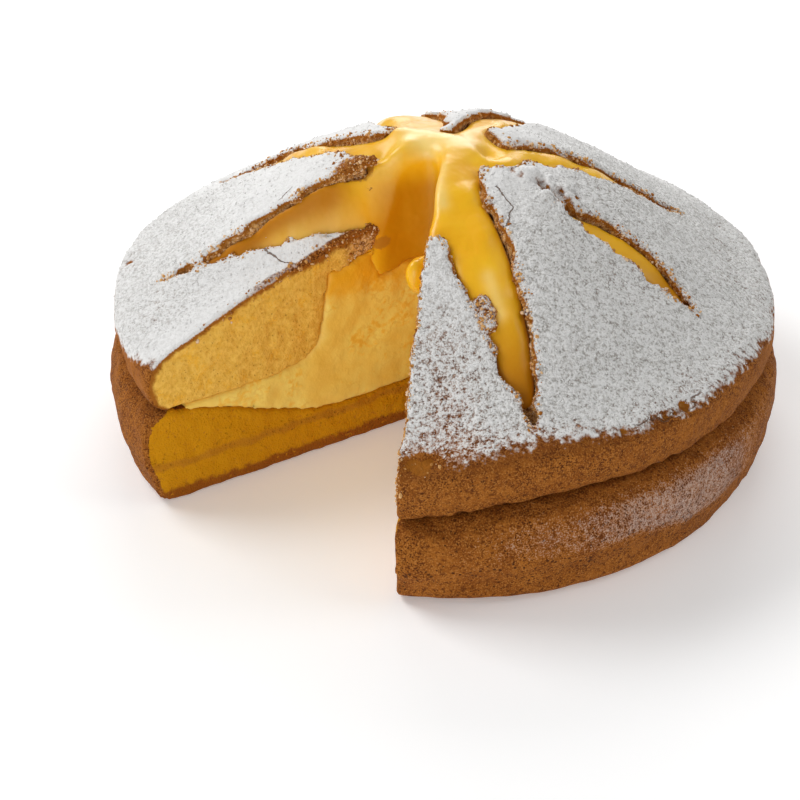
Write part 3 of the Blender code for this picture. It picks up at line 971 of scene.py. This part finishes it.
advocaat, start, shader = finish("advocaat", 0.26, 0.2)
shader.inputs["Coat Roughness"].default_value = 0.3
shader.inputs["Subsurface Weight"].default_value = 0.1
shader.inputs["Subsurface Radius"].default_value = (1.0, 0.45, 0.08)
shader.inputs["Subsurface Scale"].default_value = 0.003
deep, broad, fine = start.value("deep"), start.grain(18, 2), start.grain(1.2, 2)
colour = broad.above(0.35, 0.65).blend(EGG_YELLOW, EGG_LIGHT)
# Darker where the value deep is high: partly a real thinner cream further out, partly painted shade in
# hollows
colour = deep.blend(colour, EGG_DEEP)
# Painted highlight: the cream is drawn paler where light would gleam on it
colour = start.value("painted_highlight").blend(colour, EGG_HIGHLIGHT)
colour = (start.value("shore") + (fine - 0.5) * 0.8).above(0.6, 1.0).blend(colour, SHORE_BROWN)
start.tree.links.new((deep * 0.2 + 0.34).socket, shader.inputs["Roughness"])
start.tree.links.new((deep * -0.5 + 0.5).socket, shader.inputs["Coat Weight"])
dress(start, shader, colour, start.grain(4.5, 1) * 0.8 + fine * 0.05, 0.6)


def pour(name, slits, with_pool, low, high, node):
    """A body of advocaat, smoothed as a viscous cream lies."""

    def field(at):
        return advocaat_field(at, slits, with_pool)

    points, faces = skin_of(field, low, high, POUR_STEP)
    points = evened(points, faces, 5)
    radius, turn, height = even(points)
    right, left = cut_off(points)
    # Painted shade: the cream is drawn a deeper, darker orange in the hollow corner of the cut
    corner = smooth(np.maximum(right, left), 9, 1) * smooth(points[:, 2], 104, 92)
    corner *= smooth(radius, 32, 20)
    azimuth = np.degrees(turn)
    # Painted shade: in the left tear the cream is drawn darker on its far side, under the wall of the
    # petal beyond, where its shadow lies
    left_end = 0.95 * smooth(azimuth, -54, -66) * smooth(radius, 28, 42)
    left_end *= smooth(azimuth, -105, -95)
    plan = np.array(in_plan(radius, turn))
    left_end *= 0.15 + 0.85 * smooth(LEFT_SLIT.spot(*plan)[1], -2.2, 0.9)
    # Painted highlight: pale patches where light would gleam on the cream, near its top
    painted_highlight = np.zeros(len(points))
    for line, width, amount in PAINTED_HIGHLIGHTS:
        painted_highlight = np.maximum(painted_highlight, amount * np.exp(-((nearest_line(*plan, [line])[1] / width) ** 2)))
    inside = tear_depth(radius, turn, height, slits, with_pool, 5, points[:, 2])
    shore = smooth(inside, 1.6, 0.2) * smooth(np.maximum(right, left), 1, 4) * smooth(radius, 14, 24)
    values = {
        # deep is partly real, where the cream runs thin over the crumb further out, and partly painted
        # shade in the corner and the left tear
        "deep": np.clip(0.75 * corner + 0.9 * smooth(radius, 58, 92) + left_end, 0, 1),
        "shore": shore + 1.6 * np.exp(-(np.linalg.norm((points - TIP_CENTRE) / TIP_HALF, axis=1) ** 2)),
        "painted_highlight": painted_highlight * smooth(height - dome(radius), -8, -5),
    }
    poured = mesh_piece(name, points, faces, advocaat, values)
    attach(poured, "root")
    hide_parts(node)


pour("advocaat", JOINED_SLITS, True, (-106, -110, 50), (100, 100, 112), "advocaat_pool")
pour("advocaat_in_slit", [RIGHT_SLIT], False, (30, -60, 50), (95, -10, 112), "advocaat_strip")

# ---------------------------------------------------------------------------------------------
# The loose bits. Icing sugar that lies in grains on the near petals, and crumbs that broke from
# the sponge along its tears and its cut edges, some browned and some dusted white.
# ---------------------------------------------------------------------------------------------

GRAIN_DULL = (0.66, 0.65, 0.63)
GRAIN_WHITE = (0.82, 0.815, 0.8)
CRUMB_BROWN = (0.34, 0.12, 0.018)
CRUMB_TAN = (0.68, 0.36, 0.11)
CRUMB_DUSTED = (0.82, 0.62, 0.42)
CRUMB_DARK = (0.3, 0.1, 0.015)
FULL_TURN = 6.28
BIT_SOCKETS = {
    "Surface": "Geometry", "Each square metre": "Float", "Smallest": "Float",
    "Largest": "Float", "Unevenness": "Float", "Paint": "Material",
}


def scattering(name, ball):
    """A tree that scatters balls on a surface, as densely as one of its values says."""
    tree = bpy.data.node_groups.new(name, "GeometryNodeTree")
    keys = {}
    for label, kind in BIT_SOCKETS.items():
        made = tree.interface.new_socket(label, in_out="INPUT", socket_type="NodeSocket" + kind)
        keys[label] = made.identifier
    tree.interface.new_socket("Bits", in_out="OUTPUT", socket_type="NodeSocketGeometry")
    start = Link(tree)
    given = start.node("NodeGroupInput")
    thickness = start.node("GeometryNodeInputNamedAttribute", {"data_type": "FLOAT"}, {"Name": name})
    sockets = {"Mesh": given.also("Surface"), "Density": thickness * given.also("Each square metre")}
    spots = start.node("GeometryNodeDistributePointsOnFaces", None, {**sockets, "Seed": 5})
    number, triple = {"data_type": "FLOAT"}, {"data_type": "FLOAT_VECTOR"}
    tone = start.node("FunctionNodeRandomValue", number, {"Seed": 1}, output=1)
    stored = {"Geometry": spots, "Name": "tone", "Value": tone}
    spots = start.node("GeometryNodeStoreNamedAttribute", number, stored)
    kind, shape = ball
    bit = start.node(kind, None, shape)
    turns = start.node("FunctionNodeRandomValue", triple, {1: (FULL_TURN,) * 3, "Seed": 2})
    least, most = given.also("Smallest"), given.also("Largest")
    size = start.node("FunctionNodeRandomValue", number, {2: 0.0, 3: 1.0, "Seed": 3}, output=1)
    size = least + (most - least) * size * size * size
    sockets = {0: (0.7, 0.6, 0.5), 1: (1.3, 1.1, 0.9), "Seed": 4}
    flat = start.node("FunctionNodeRandomValue", triple, sockets)
    scale = start.node("ShaderNodeVectorMath", {"operation": "SCALE"}, {0: flat, "Scale": size})
    sockets = {"Points": spots, "Instance": bit, "Rotation": turns, "Scale": scale}
    bits = start.node("GeometryNodeInstanceOnPoints", None, sockets)
    bits = start.node("GeometryNodeRealizeInstances", None, {"Geometry": bits})
    lumpy = start.node("ShaderNodeTexNoise", None, {"Scale": 900.0, "Detail": 1.0}, output=1)
    moved = start.node("ShaderNodeVectorMath", {"operation": "SUBTRACT"}, {0: lumpy, 1: (0.5, 0.5, 0.5)})
    sockets = {0: moved, "Scale": given.also("Unevenness")}
    moved = start.node("ShaderNodeVectorMath", {"operation": "SCALE"}, sockets)
    bits = start.node("GeometryNodeSetPosition", None, {"Geometry": bits, "Offset": moved})
    painted = {"Geometry": bits, "Material": given.also("Paint")}
    bits = start.node("GeometryNodeSetMaterial", None, painted)
    start.node("NodeGroupOutput", None, {0: bits})
    return tree, keys


def scatter(name, surface, ball, values, material):
    """A plain mesh of bits that lie on a piece, as densely as the value of the same name says."""
    tree, keys = scattering(name, ball)
    holder = bpy.data.objects.new(name, surface.data)
    bpy.context.scene.collection.objects.link(holder)
    modifier = holder.modifiers.new("scatter", "NODES")
    modifier.node_group = tree
    for label, value in {**values, "Paint": material}.items():
        modifier[keys[label]] = value
    shaped = holder.evaluated_get(bpy.context.evaluated_depsgraph_get())
    mesh = bpy.data.meshes.new_from_object(shaped)
    holder.modifiers.remove(modifier)
    holder.data = mesh
    mesh.shade_smooth()
    mesh.materials.clear()
    mesh.materials.append(material)
    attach(holder, "root")


powder, start, shader = finish("powder_sugar", 0.9, 0.15)
colour = start.value("tone").above(0.0, 1.0).blend(GRAIN_DULL, GRAIN_WHITE)
start.tree.links.new(colour.socket, shader.inputs["Base Color"])
octahedron = ("GeometryNodeMeshUVSphere", {"Segments": 4, "Rings": 2, "Radius": 0.5})
sizes = {"Each square metre": 0.85e6, "Smallest": 0.5 * MM, "Largest": 1.3 * MM, "Unevenness": 0.0}
scatter("grains", upper, octahedron, sizes, powder)

crumby, start, shader = finish("crumb", 0.9, 0.15)
tone, tiny = start.value("tone"), start.grain(0.7, 2)
colour = tone.above(0.05, 0.6).blend(CRUMB_BROWN, CRUMB_TAN)
colour = (tone + (tiny - 0.5) * 0.8).above(0.6, 1.0).blend(colour, CRUMB_DUSTED)
colour = (tiny.above(0.44, 0.36) * 0.5).blend(colour, CRUMB_DARK)
dress(start, shader, colour, tiny, 0.4)
pebble = ("GeometryNodeMeshIcoSphere", {"Radius": 0.5, "Subdivisions": 1})
sizes = {"Each square metre": 1.3e6, "Smallest": 0.45 * MM, "Largest": 1.7 * MM, "Unevenness": 0.8 * MM}
scatter("crumbs", upper, pebble, sizes, crumby)

[[list(corner) for corner in box] for box in (cad_box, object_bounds())]
